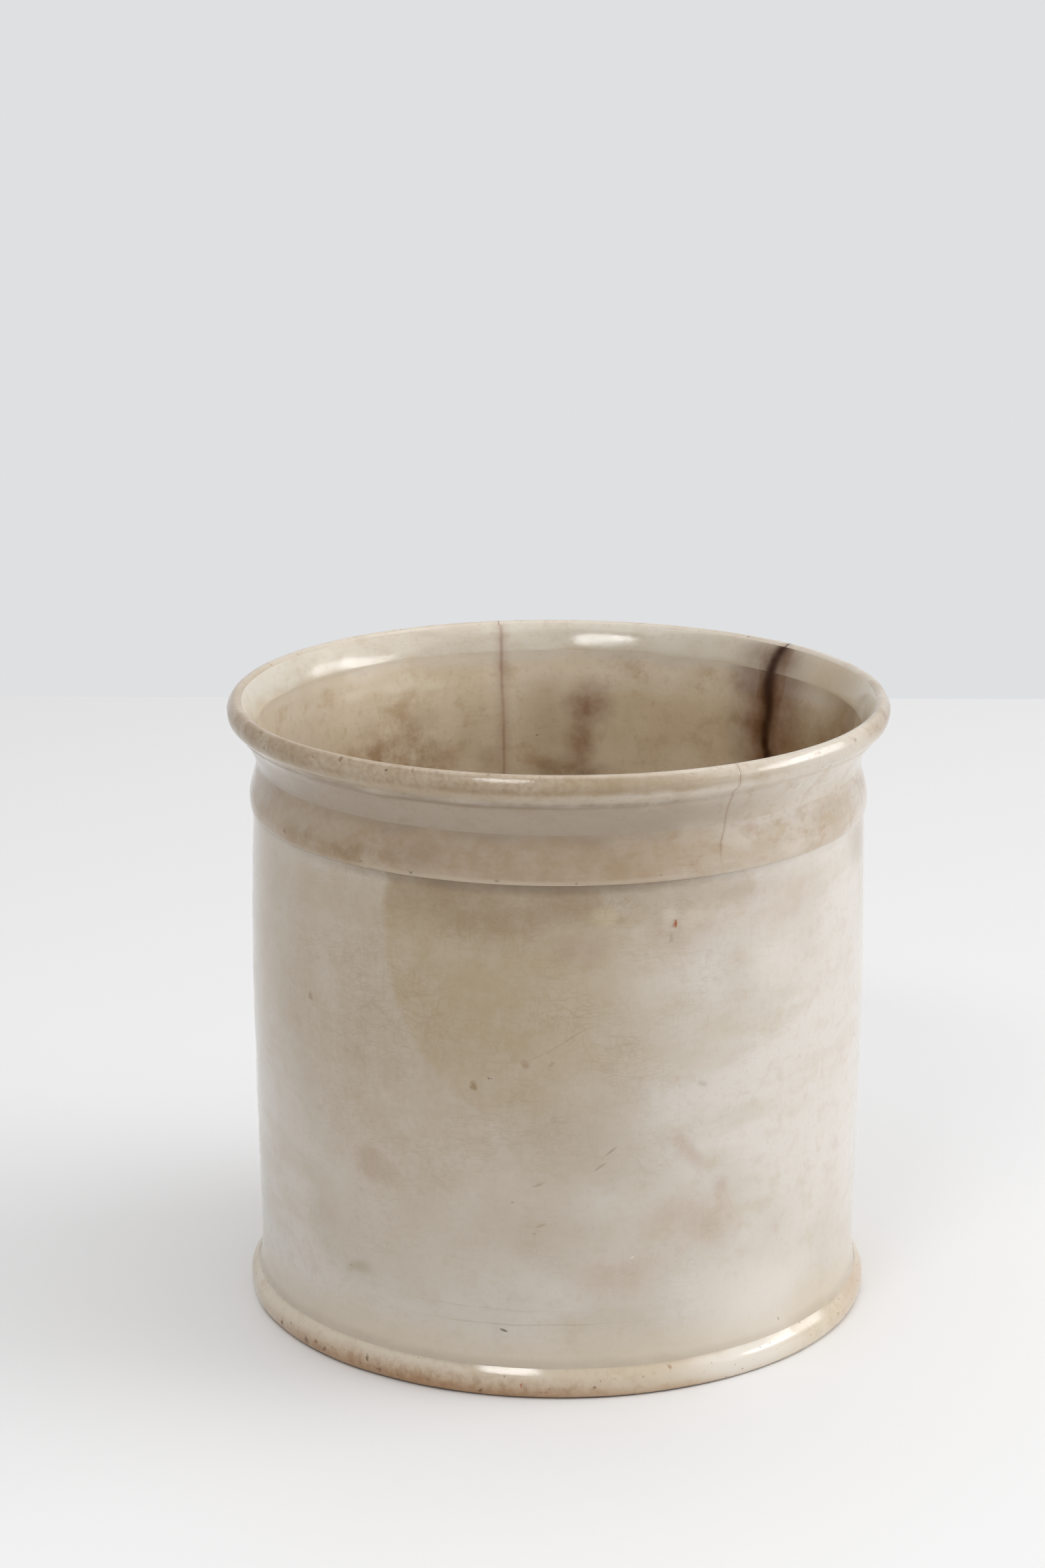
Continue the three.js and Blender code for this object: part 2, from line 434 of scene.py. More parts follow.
# What every glaze on this pot shares. Sizes are in mm.
# Side is -1 where degrees count from the front, and 1 inside, where they count from the back.
# Clouds are wide, tall, detail, tint, low, high and strength.
# Spots are degrees, height, wide, tall, tint and strength.
# Cracks have layers of half width, tint, strength and patchiness.
# Specks are cell, size, share of the cells, tint and strength.
commonGlaze = {
    "side": -1, "radius": 74.5,
    "drift": 9, "steadyDrift": 1.8, "driftSize": 16,
    "patchSize": 8, "patchRange": (0.36, 0.62), "grainRange": (0.42, 0.66),
    "markSoft": 0.95, "spotSoft": 0.8,
    "cracks": [], "crackDepth": 0.06,
    "specks": [], "specksAbove": 0,
    "bare": "#8a6846", "bareRange": (0.25, 0.6), "bareRough": 0.4,
    "ior": 1.52, "shine": 0.5, "rough": (0.07, 0.16),
    "peel": 0.012, "peelSize": 1.7, "fray": 2.2,
    # Real crazing lines are near 0.1 mm: drawn up to 0.2 mm wide so that they show
    "crazing": {"nets": [("threads", 24, 2.6, 0.1), ("threads", 12, 1.5, 0.08), ("cells", 4, 2.2, 0.1)],
                "width": 0.06, "bend": 4.5, "tint": "#8f6b3a", "depth": 0.001,
                "fadeSize": 18, "from": 0.36, "to": 0.62, "heights": (58, 92), "lowShare": 0.15,
                "at": -8, "facing": (0.55, 0.9), "awayShare": 0.2},
}

# The hairline down the front of the rim, which runs on into the band, and a shorter one beside it
frontHairline = {
    "path": [(29.7, 127), (29.9, 130.5), (31.0, 134.4), (31.0, 137.3), (30.8, 141.2), (30.4, 143.9),
             (30.6, 147), (30.7, 150.5)],
    "fade": 3, "layers": [(1.1, "#a98c6c", 0.25, 0.2), (0.22, "#74513a", 0.42, 0.2)]}
sideHairline = {
    "path": [(75.0, 126), (76.4, 131), (75.8, 136), (76.6, 141)], "fade": 2, "fadeTop": 2,
    "layers": [(0.28, "#7d5c43", 0.55, 0.3)]}

wallGlazeLook = commonGlaze | {
    "body": "#e1dad1",
    "crazing": commonGlaze["crazing"] | {
        "nets": [("threads", 15, 3.4, 0.2), ("threads", 7, 2.0, 0.18), ("threads", 3, 18, 0.17),
                 ("cells", 5, 3.2, 0.26)], "bend": 6, "heights": (0, 92)},
    "clouds": [
        (52, 44, 2, "#d0c6b7", 0.42, 0.64, 0.65),
        (44, 12, 3, "#cec1ac", 0.50, 0.70, 0.4),
        (18, 13, 2, "#e0d9cf", 0.52, 0.72, 0.25),
        (6, 4, 4, "#c4b59d", 0.50, 0.72, 0.22),
        (5, 6, 3, "#c09a84", 0.56, 0.74, 0.15),
        (8, 7, 3, "#bda974", 0.56, 0.76, 0.18),
        (1.5, 1.5, 3, "#b9a88d", 0.52, 0.75, 0.16),
    ],
    "marks": [
        # mottles in the glaze, front and left
        mark(-26, 84, 128, 132, "#b89d80", 0.26, soft=0.7, patchy=0.95),
        mark(-20, 92, 128, 124, "#9c8466", 0.2, soft=0.8, grainy=1),
        # the warm wash, weaker low down
        mark(-30, 95, 200, 124, "#b9a68a", 0.66, soft=0.75, patchy=0.15),
        mark(44, 112, 44, 34, "#b89f86", 0.5, patchy=0.5),
        mark(22, 113, 40, 24, "#a98c6a", 0.5, patchy=0.5),
        mark(2, 62, 60, 34, "#b5a48c", 0.4),
        mark(-22, 40, 150, 90, "#bba98d", 0.38, soft=0.9),
        # the fat stain below the band, with its tide mark on one side
        mark(7.7, 112, 106, 104, "#b0986a", 0.48, soft=0.05, edge="steady", patchy=0.25,
             within=dict(at=-14, height=112, wide=112, tall=118, soft=0.7)),
        mark(-8, 122, 104, 32, "#8f7450", 0.54, soft=0.7, patchy=0.3,
             within=dict(at=7.7, height=112, wide=106, tall=104, soft=0.06, edge="steady")),
        mark(4, 108, 20, 12, "#a58a74", 0.5, patchy=0.4),
        mark(31, 120, 42, 13, "#a08868", 0.5, patchy=0.3),
        # paler patches in the stain
        mark(7, 115.4, 9, 7, "#cfc09c", 0.45, soft=0.8),
        mark(19, 115.6, 8, 6, "#e0d8c8", 0.5, patchy=0.3),
        mark(24, 114, 9, 8, "#d8ccb8", 0.45, soft=0.8),
        # tan under the band on the right, and a wash low in front
        mark(76, 119, 34, 16, "#a8957c", 0.5),
        mark(-4, 41, 48, 28, "#b5a287", 0.35),
        # dirt caught under the band's edge, and painted shade there
        mark(-8, 123.0, 150, 4.4, "#776552", 0.55, soft=0.9, edge="steady", patchy=0.3),
        # the smoky bloom low on the right
        mark(25, 58, 23, 6, "#b89e86", 0.4, turn=-42),
        mark(31.5, 48, 9, 8, "#b2957c", 0.35),
        mark(25, 41, 38, 18, "#b89c82", 0.48, patchy=0.5),
        mark(12, 30, 34, 16, "#c0a68e", 0.45, patchy=0.5),
        # the blotches low on the left
        mark(-35, 51.5, 21, 10, "#b3967c", 0.48, turn=-32, soft=0.6, patchy=0.3),
        mark(-47, 36, 16, 12, "#c1ae97", 0.35),
        mark(-38, 24, 11, 5, "#a8977a", 0.45, soft=0.9),
        # turning lines near the foot
        mark(-8, 17.6, 80, 0.7, "#a08a6a", 0.3, turn=0.5, soft=0.9, edge="steady", patchy=0.7),
        mark(-14, 21.2, 70, 0.6, "#a08a6a", 0.25, turn=-0.8, soft=0.9, edge="steady", patchy=0.8),
        # the cream run above the foot, and painted shade with a little dirt in the crease
        mark(0, 9, 0, 22, "#d9c9af", 0.55, soft=0.9),
        mark(0, 7.3, 0, 5.4, "#a3917a", 0.36, edge="steady", patchy=0.3),
        # pale glaze on the right
        mark(40, 18, 60, 36, "#ebe4da", 0.7),
        mark(42, 103, 26, 34, "#ebe5dc", 0.5),
        # scratches
        mark(9.6, 60.5, 5.4, 0.9, "#8f7857", 0.5, turn=36, soft=0.9, edge="steady"),
        mark(7.6, 56.8, 5.6, 0.9, "#8f7857", 0.42, turn=34, soft=0.9, edge="steady"),
        mark(-3.4, 52.4, 4.6, 1.1, "#94795a", 0.4, turn=24, soft=0.9, edge="steady"),
        mark(-3, 42.6, 4.2, 1.0, "#a08563", 0.4, turn=22, soft=0.9, edge="steady"),
        mark(-9.6, 16.2, 2.4, 0.8, "#55503c", 0.8, turn=-16, soft=0.6, edge="steady"),
        # behind, a second soak of fat and a pale run
        mark(168, 104, 92, 84, "#b19b78", 0.45, soft=0.25, patchy=0.4),
        mark(118, 60, 52, 40, "#b9a78c", 0.5, soft=0.9, patchy=0.5),
        mark(-128, 84, 60, 60, "#bba98e", 0.5, soft=0.9, patchy=0.4),
    ],
    "spots": [
        (20.8, 113.5, 2.1, 2.5, "#a05628", 1), (-14.9, 75.8, 3.0, 2.6, "#96764f", 0.7),
        (-12.1, 77.6, 0.8, 0.8, "#5a4535", 0.9), (-5.5, 81.5, 2.6, 3.2, "#a08265", 0.55),
        (-1.1, 81.6, 1.9, 2.2, "#a8886c", 0.5), (-50.5, 88.8, 3.0, 3.4, "#a07c66", 0.6),
        (26.3, 74.7, 4.4, 2.0, "#a79d90", 0.4), (-7.9, 47.7, 1.2, 0.9, "#9c815f", 0.5),
        (-4.1, 40.5, 1.0, 0.8, "#a0876a", 0.5), (13.8, 33.9, 1.6, 1.2, "#ece3cf", 0.8),
        (-40.6, 24.9, 1.2, 0.8, "#95805f", 0.5), (45.8, 10.2, 0.7, 0.7, "#6d5a3c", 0.8),
        (20.1, 110.0, 1.8, 2.8, "#a08367", 0.4), (152, 66, 2.4, 2.0, "#93734d", 0.7),
        (-96, 92, 1.2, 1.4, "#7c5a38", 0.7), (-164, 38, 3.0, 2.2, "#a58c6b", 0.6),
        (104, 108, 1.4, 1.0, "#80603e", 0.7),
    ],
    "cracks": [
        {"path": [(-6.1, 82.2), (-3.4, 83.6), (0.4, 86.4), (4.4, 89.6), (7.7, 91.1)],
         "fade": 1, "fadeTop": 2, "layers": [(0.4, "#9a7d56", 0.42, 0.4)]},
        {"path": [(131, 94), (130.4, 108), (131.2, 118), (130.8, 126)], "fade": 14,
         "layers": [(2.2, "#a58a6a", 0.4, 0.4), (0.35, "#5d4332", 0.75, 0.0)]},
    ],
}

insideGlazeLook = commonGlaze | {
    "side": 1, "radius": 69.8,
    "body": "#dbccb5",
    "clouds": [
        (34, 34, 3, "#ccb999", 0.42, 0.64, 0.7),
        (11, 9, 4, "#b39670", 0.52, 0.70, 0.5),
        (13, 11, 3, "#ded3bb", 0.54, 0.72, 0.5),
        (4.5, 4.5, 4, "#ab8c63", 0.55, 0.75, 0.35),
        (1.5, 1.5, 3, "#a68b62", 0.52, 0.75, 0.2),
    ],
    "marks": [
        # a pale ring under the flare, and painted grey shade on the left
        mark(0, 143.6, 0, 9, "#d8cdbd", 0.7),
        mark(-72, 124, 74, 80, "#aea091", 0.42, soft=0.8),
        # the brown soak in the middle, with mottles to its left
        mark(6.2, 129, 17, 19, "#7a4a2c", 0.9, turn=-24, patchy=0.5),
        mark(4, 119, 14, 17, "#80522f", 0.85, patchy=0.4),
        mark(2, 112, 36, 10, "#70492a", 0.75, patchy=0.6),
        mark(-38, 119, 60, 30, "#8c683f", 0.75, soft=0.9, patchy=0.95),
        mark(-15, 114, 9, 12, "#8f6c4a", 0.4, patchy=0.5),
        # brown glaze on the right, round the dark crack
        mark(50, 132, 40, 66, "#683c08", 0.8, soft=0.85, patchy=0.25),
        mark(78, 128, 54, 64, "#744d12", 0.68, soft=0.8, patchy=0.2),
        mark(64, 128, 46, 62, "#6a4612", 0.3, soft=0.9, patchy=0.3),
        mark(43, 140, 20, 16, "#5a2c04", 0.34, soft=0.9),
        # a thin tan veil behind the soak
        mark(-3, 124, 20, 40, "#a8906c", 0.35),
        # the thick part of the dark crack and the drop below it
        mark(48.2, 139.5, 7.4, 18, "#2e1504", 0.9, soft=0.98, edge="steady"),
        mark(48.8, 126, 3.6, 6, "#2e1504", 0.9, soft=0.9, edge="steady"),
        # fat settled in the lower part
        mark(0, 12, 0, 44, "#b0926a", 0.5, soft=0.9, patchy=0.5),
    ],
    "spots": [(-4.9, 121.7, 0.8, 0.8, "#5f4a36", 0.8)],
    "cracks": [
        {"path": [(-11.4, 80), (-11.7, 112), (-12.0, 131.7), (-11.6, 143.4), (-11.5, 150.5)], "fade": 26,
         "layers": [(3, "#a07c62", 0.35, 0.3), (0.75, "#86543f", 0.45, 0.4)]},
        {"path": [(51.8, 76), (51, 96), (49.8, 122), (48.8, 126), (49.2, 134.8), (47.6, 141.4),
                  (47.7, 145.1), (49, 150.5)],
         "fade": 34,
         "layers": [(16, "#6a3a08", 0.46, 0.3), (4.6, "#42260f", 0.72, 0.3), (2.2, "#2e1504", 0.8, 0.2)]},
    ],
}

rimGlazeLook = commonGlaze | {
    "body": "#d9cebf",
    "clouds": [
        (34, 20, 3, "#cbbda9", 0.42, 0.66, 0.7),
        (8, 5, 4, "#bda98c", 0.52, 0.72, 0.45),
        (3, 2.4, 3, "#b08f66", 0.56, 0.74, 0.35),
        (1.5, 1.5, 3, "#ad9a7e", 0.52, 0.75, 0.25),
    ],
    "marks": [
        # the cove is greyer, most in front and on the left
        mark(-24, 138.2, 210, 17.6, "#9f8b75", 0.74, soft=0.5),
        # painted shade, with dirt, in the groove under the bead
        mark(-14, 142.6, 170, 2.0, "#7d6a55", 0.5, edge="steady", patchy=0.3),
        # the bead is tan where hands have worn it
        mark(-46, 148.2, 262, 9.4, "#af9878", 0.8, soft=0.45, edge="steady", patchy=0.3),
        mark(-10, 146.9, 190, 2.4, "#96774e", 0.45, edge="steady", patchy=0.6),
        mark(-66, 148.5, 90, 8, "#8b6c46", 0.5, soft=0.8, patchy=0.9),
        mark(-40, 148.6, 190, 8, "#8a6a44", 0.28, soft=0.6, edge="steady", grainy=1),
        mark(86, 148, 84, 10, "#9c8262", 0.88, soft=0.8, patchy=0.45),
        # a painted highlight: paler and greyer on the bead's right
        mark(46, 148.5, 52, 9, "#d0c8bc", 0.4, soft=0.9, patchy=0.3),
        # more tan a little right of the front
        mark(14, 148.5, 34, 8, "#a08a68", 0.4, patchy=0.3),
        # behind, the same wear and grey
        mark(150, 146, 130, 8, "#b09875", 0.5, soft=0.8, patchy=0.5),
        mark(150, 139, 110, 18, "#b3a18a", 0.6, soft=0.8),
    ],
    "spots": [
        (-29.1, 149.2, 1.3, 0.9, "#5d3f28", 0.8), (-44, 149.2, 1.8, 0.5, "#7d5836", 0.5),
        (-60.5, 149.8, 1.5, 1.0, "#6d4c2e", 0.7), (-58.1, 147.2, 1.6, 1.2, "#6d4c2e", 0.7),
        (-38.3, 149.8, 1.8, 1.0, "#7a5a38", 0.7), (-36.5, 150.1, 1.5, 0.8, "#7a5a38", 0.6),
        (-24.2, 150.0, 1.4, 0.9, "#8a5f3c", 0.6), (-19.7, 150.1, 1.1, 0.7, "#7a5540", 0.6),
        (-11.1, 150.2, 1.8, 0.8, "#8a6a48", 0.6), (-3.1, 150.2, 1.1, 0.7, "#7a5a40", 0.6),
        (22.2, 150.1, 1.5, 0.5, "#80603e", 0.5), (48.5, 149.3, 1.4, 0.6, "#75532f", 0.5),
        (59.5, 149.2, 1.2, 0.7, "#80603e", 0.5),
    ],
    "cracks": [
        frontHairline, sideHairline,
        {"path": [(131, 126), (131.4, 135), (132.4, 141), (132, 146), (131, 150.5)], "fade": 1,
         "layers": [(3, "#96775a", 0.5, 0.4), (0.6, "#3a2820", 0.9, 0.0)]},
        {"path": [(-168.4, 138), (-168.2, 143), (-168.5, 150.5)], "fade": 4,
         "layers": [(0.35, "#83503c", 0.7, 0.0)]},
    ],
    "specks": [(2.4, 0.3, 0.24, "#7d5a38", 0.55), (4.4, 0.6, 0.2, "#96704a", 0.5)],
    "specksAbove": 143.8,
    "rough": (0.1, 0.2),
    "peel": 0.03, "peelSize": 1.2,
}

flareGlazeLook = insideGlazeLook | {
    "body": "#dbd3c4",
    "rough": (0.1, 0.2),
    "clouds": [
        (36, 36, 3, "#cfc3b0", 0.42, 0.66, 0.7),
        (8, 5, 4, "#c2b193", 0.52, 0.72, 0.4),
        (1.5, 1.5, 3, "#b3a082", 0.52, 0.75, 0.2),
    ],
    "marks": [
        # tan below, and dirt by the dark crack
        mark(0, 141.8, 0, 7, "#c0ad8c", 0.6),
        mark(68, 146, 56, 26, "#b89e76", 0.6, soft=0.9),
        mark(47, 147, 34, 14, "#7d5634", 0.45, patchy=0.5),
        mark(51, 147.5, 13, 9, "#664732", 0.45, patchy=0.3),
        mark(47.8, 143.5, 5, 14, "#2e1504", 0.85, soft=0.98, edge="steady"),
        mark(180, 148, 120, 12, "#c2b094", 0.4, soft=0.8),
    ],
}

bandGlazeLook = commonGlaze | {
    "body": "#d7ccbf",
    "clouds": [
        (30, 20, 3, "#c5b39c", 0.42, 0.66, 0.7),
        (7, 4, 4, "#b69f82", 0.50, 0.70, 0.4),
        (5, 4, 3, "#b88e78", 0.54, 0.72, 0.3),
        (8, 4, 3, "#b39c62", 0.56, 0.76, 0.3),
        (1.5, 1.5, 3, "#a48c6c", 0.52, 0.75, 0.25),
    ],
    "marks": [
        # tan over the front and left
        mark(-32, 128, 208, 50, "#a68a66", 0.78, soft=0.55, patchy=0.25),
        mark(-44, 126.5, 50, 8, "#86683a", 0.65, soft=0.9, patchy=0.8),
        # a painted highlight along the lower edge
        mark(-6, 124.4, 150, 2.4, "#d6c8b2", 0.5, soft=0.9, edge="steady", patchy=0.4),
        # tan patches on the right and in front
        mark(64, 128, 30, 9, "#bda88f", 0.4, patchy=0.7),
        mark(-26, 127.5, 24, 10, "#94785c", 0.45, patchy=0.3),
        # the grey of the cove runs a little way down
        mark(-14, 136, 200, 8, "#9c8b77", 0.6),
    ],
    "spots": [
        (-26.4, 124.9, 1.9, 1.0, "#6b5844", 0.7), (-10.3, 125.2, 1.6, 1.1, "#6b5844", 0.5),
        (-37, 125.4, 1.6, 0.9, "#735c40", 0.6), (3, 124.8, 1.4, 0.8, "#735c40", 0.5),
        (18, 125.1, 1.5, 0.8, "#7a6246", 0.5), (-58, 126.4, 2.0, 1.4, "#6b5338", 0.6),
    ],
    "cracks": [frontHairline, sideHairline, wallGlazeLook["cracks"][1] | {
        "path": [(130.8, 120), (131.2, 128), (131, 136)], "fade": 1}],
}

footGlazeLook = commonGlaze | {
    "body": "#e0d3bf",
    "clouds": [
        (26, 14, 3, "#d3c2a8", 0.42, 0.66, 0.7),
        (5, 4, 4, "#c4aa86", 0.52, 0.72, 0.4),
        (1.5, 1.5, 3, "#b09570", 0.52, 0.75, 0.22),
    ],
    "marks": [
        # thin and tan in front and on the left; pale on the right, partly painted sheen
        mark(-10, 0.2, 200, 6.6, "#b98e62", 0.5, soft=0.8, edge="steady"),
        mark(-30, 1.4, 150, 10.4, "#b58c62", 0.62, soft=0.75, edge="steady", patchy=0.15),
        mark(-30, 1.0, 130, 6, "#a5784c", 0.4, edge="frayed", patchy=0.45),
        mark(-24, 2.4, 130, 8, "#8f6238", 0.34, soft=0.7, edge="steady", grainy=1),
        mark(36, 4.5, 54, 12, "#ece4d8", 0.9, soft=0.8),
        mark(76, 3, 50, 12, "#cbb39a", 0.7, soft=0.8),
        # painted contact shadow: the dark line where it stands
        mark(-6, 0, 230, 1.4, "#5d452e", 0.7, soft=0.9, edge="steady"),
        # painted shade with a little dirt in the crease, and thin glaze behind
        mark(0, 7.6, 0, 2.6, "#a3917a", 0.5, edge="steady", patchy=0.2),
        mark(150, 1.6, 90, 6, "#a67c50", 0.6, soft=0.8, edge="steady", patchy=0.7),
    ],
    "spots": [
        (-60.3, 2.6, 1.8, 1.8, "#7c5230", 0.8), (-51.6, 1.9, 2.0, 1.8, "#6d4b2c", 0.8),
        (-48.6, 2.9, 1.4, 1.6, "#8a5a34", 0.7), (-46.5, 2.5, 1.2, 1.4, "#7b4f2c", 0.7),
        (-35.8, 3.9, 1.4, 1.6, "#5e4a2e", 0.8), (-33.1, 2.1, 1.2, 1.2, "#7d5732", 0.7),
        (-29.0, 1.9, 1.1, 1.1, "#8a5f38", 0.7), (-22.8, 2.2, 1.0, 1.1, "#8a6038", 0.7),
        (-13.5, 1.5, 1.2, 1.1, "#6b482b", 0.8), (-9.3, 4.9, 0.8, 1.0, "#77603c", 0.7),
        (-6.3, 3.2, 1.1, 1.1, "#b0552a", 0.8), (-1.1, 2.8, 0.8, 0.8, "#9a7146", 0.6),
        (6.6, 2.6, 0.9, 1.0, "#7d5a38", 0.8), (15.4, 4.8, 0.8, 0.8, "#8a6a44", 0.6),
        (63.1, 3.9, 1.1, 1.0, "#a07a4e", 0.6),
    ],
    "specks": [(2.0, 0.34, 0.26, "#7d5233", 0.6), (3.2, 0.6, 0.22, "#a06a3c", 0.5)],
}

clayLook = {
    "body": "#c9ad88", "clouds": [(14, "#b2936b", 0.7), (3, "#dcc6a4", 0.5)],
    "cloudRange": (0.4, 0.65), "grit": 0.45, "gritDepth": 0.05, "rough": (0.62, 0.9), "ior": 1.5,
}

wallGlaze = glazedEarthenware("cream_lead_glaze_wall", wallGlazeLook)
insideGlaze = glazedEarthenware("fat_stained_glaze_inside", insideGlazeLook)
rimGlaze = glazedEarthenware("worn_lead_glaze_rim", rimGlazeLook)
flareGlaze = glazedEarthenware("cream_lead_glaze_flare", flareGlazeLook)
bandGlaze = glazedEarthenware("mottled_lead_glaze_band", bandGlazeLook)
footGlaze = glazedEarthenware("thin_lead_glaze_foot", footGlazeLook)
# Old dirt has dulled the glaze along the dark crack
dulled = {"shine": 0.08}
insideDirt = glazedEarthenware("dirty_glaze_inside_crack", insideGlazeLook | dulled)
flareDirt = glazedEarthenware("dirty_glaze_flare_crack", flareGlazeLook | dulled)
crackDirt = [("inner", 127.5, 135, "innerDirt"), ("flare", 128.5, 136, "flareDirt")]
clay = bareClay("bare_buff_earthenware", clayLook)
print("finishes mixed")

# Where the glaze runs over the joints: mm in from the widest point of a piece, and mm up
seams = {"rimIn": 1.75, "shoulderIn": 0.8, "mouthIn": 3.8, "footIn": 2.05, "footUp": 0.08,
         "floorIn": 4.6, "floorUp": 0.03}
rimLow, rimHigh = boxOf("rolled_rim")
bandLow, bandHigh = boxOf("collar_band")
wallLow, wallHigh = boxOf("pot_wall")
footHigh = boxOf("foot_ring")[1]
floorLow, floorHigh = boxOf("pot_floor")
rimSeam = (bandHigh.x - seams["rimIn"], (bandHigh.z + rimLow.z) / 2)
shoulder = (bandHigh.x - seams["shoulderIn"], bandLow.z)
mouth = (wallHigh.x - seams["mouthIn"], rimLow.z)
footSeam = (footHigh.x - seams["footIn"], footHigh.z + seams["footUp"])
floorSeam = (floorHigh.x - seams["floorIn"], floorHigh.z + seams["floorUp"])

# Rolled rim: a cove, a rolled bead and a flared inside
rolledRim = {
    "sleeve": 71.9, "ringStep": 0.42, "cove": [(73.3, 136.8), (75.3, 140.4)],
    "heart": (2.6, 3),      # mm in from the widest point and down from the top
    "nicks": [
        (-49.5, 78.9, 149.0, 0.9, 0.2), (-44.0, 79.0, 148.9, 1.0, 0.22), (-38.3, 78.6, 149.3, 0.8, 0.18),
        (-30.7, 77.4, 149.8, 0.8, 0.2), (-29.1, 78.6, 149.2, 1.2, 0.26), (-12.6, 77.0, 149.7, 0.8, 0.18),
        (-9.1, 76.4, 149.5, 0.9, 0.2), (-3.3, 76.4, 149.5, 0.9, 0.2), (13.3, 77.4, 149.8, 0.7, 0.15),
        (22.2, 77.0, 149.8, 0.9, 0.2), (41.0, 78.4, 149.4, 0.8, 0.16), (48.5, 79.0, 148.9, 0.9, 0.2),
        (59.5, 79.0, 148.8, 0.9, 0.2), (118, 78.2, 149.4, 1.6, 0.4), (-150, 79.2, 148.6, 1.2, 0.3),
        (160, 78.4, 149.3, 0.9, 0.2),
    ],
}
top, wide = rimHigh.z, rimHigh.x
turnPiece(
    "rolled_rim_fired", "rolled_rim", (rolledRim["sleeve"], rimLow.z), [
        ("raw", rimSeam),
        ("outer", *rolledRim["cove"], (wide - 2.9, top - 7.6)),
        ("outer", (wide - 2.75, top - 7.42), (wide - 2.8, top - 7.2), (wide - 2.75, top - 7.0)),
        ("outer", (wide - 2.2, top - 6.5), (wide - 1.15, top - 5.8), (wide - 0.5, top - 4.9)),
        ("outer", (wide - 0.15, top - 4.35), (wide, top - 3.6), (wide, top - 2.9)),
        ("outer", (wide, top - 2.65), (wide + 0.04, top - 2.38), (wide - 0.05, top - 2.2)),
        ("outer", (wide - 0.44, top - 1.39)),
        ("outer", (wide - 0.89, top - 0.61)),
        ("outer", (wide - 1.05, top - 0.34), (wide - 1.4, top), (wide - 1.9, top)),
        ("outer", (wide - 2.6, top), (wide - 3.1, top - 0.25), (wide - 3.5, top - 0.7)),
        ("flare", (wide - 4.7, top - 2.0), (wide - 6.3, top - 5.0), (wide - 6.95, top - 6.9)),
        ("inner", (wide - 7.4, top - 9.2), (mouth[0] + 0.6, mouth[1] + 3), mouth),
        ("raw", (rolledRim["sleeve"], rimLow.z)),
    ], {"outer": rimGlaze, "flare": flareGlaze, "inner": insideGlaze, "innerDirt": insideDirt,
        "flareDirt": flareDirt, "raw": clay},
    rolledRim["ringStep"], rolledRim["nicks"],
    (wide - rolledRim["heart"][0], top - rolledRim["heart"][1]), crackDirt)

# Collar band: widest at its crisp lower edge, drawn in towards the rim
collarBand = {"sleeve": 71.9, "ringStep": 0.5, "undercut": 0.1}
low, wide = bandLow.z, bandHigh.x
inEdge = (collarBand["sleeve"], low + collarBand["undercut"])
turnPiece(
    "collar_band_fired", "collar_band", inEdge, [
        ("raw", shoulder),
        ("outer", (wide - 0.55, low)),
        ("outer", (wide - 0.2, low), (wide, low + 0.8), (wide, low + 2.3)),
        ("outer", (wide, low + 4.9), (rimSeam[0] - 0.05, low + 8.6), rimSeam),
        ("raw", (collarBand["sleeve"], bandHigh.z)),
        ("raw", inEdge),
    ], {"outer": bandGlaze, "raw": clay}, collarBand["ringStep"])

# Pot wall: nearly straight, with a slight belly, run into the floor inside
potWall = {"neck": 71.6, "ringStep": 1.4, "thick": 4.3, "heel": 0.3, "bellyHeight": 85,
           "waist": (73.75, 15), "innerNeck": (69.9, 122), "innerToe": 69.45, "toe": 5,
           "innerFoot": 69.4, "lap": 69.35, "slit": 0.02}
belly, middle = wallHigh.x, potWall["bellyHeight"]
inBelly = belly - potWall["thick"]
heel = (footSeam[0] - potWall["heel"], wallLow.z)
floorEdge = floorSeam[1]
turnPiece(
    "pot_wall_fired", "pot_wall", heel, [
        ("raw", footSeam),
        ("outer", (footSeam[0] - 0.36, footSeam[1] + 0.5), (73.88, 8.1), (73.78, 9.4)),
        ("outer", (73.74, 10.6), (73.72, 12.5), potWall["waist"]),
        ("outer", (74.0, 38), (belly, 62), (belly, middle)),
        ("outer", (belly, 100), (74.3, 112), shoulder),
        ("raw", (potWall["neck"], shoulder[1])),
        ("raw", (potWall["neck"], mouth[1] - potWall["slit"])),
        ("raw", mouth),
        ("inner", (mouth[0] - 0.6, mouth[1] - 3), (69.95, 128.5), potWall["innerNeck"]),
        ("inner", (70.1, 112), (inBelly, 100), (inBelly, middle)),
        ("inner", (inBelly, 60), (69.6, 32), (potWall["innerToe"], floorEdge + potWall["toe"])),
        ("inner", (potWall["innerFoot"], floorEdge + 1.8), (67.9, floorEdge), floorSeam),
        ("raw", (potWall["lap"], floorEdge)),
        ("raw", (potWall["innerFoot"], wallLow.z)),
        ("raw", heel),
    ], {"outer": wallGlaze, "inner": insideGlaze, "innerDirt": insideDirt, "raw": clay},
    potWall["ringStep"], strips=crackDirt[:1])

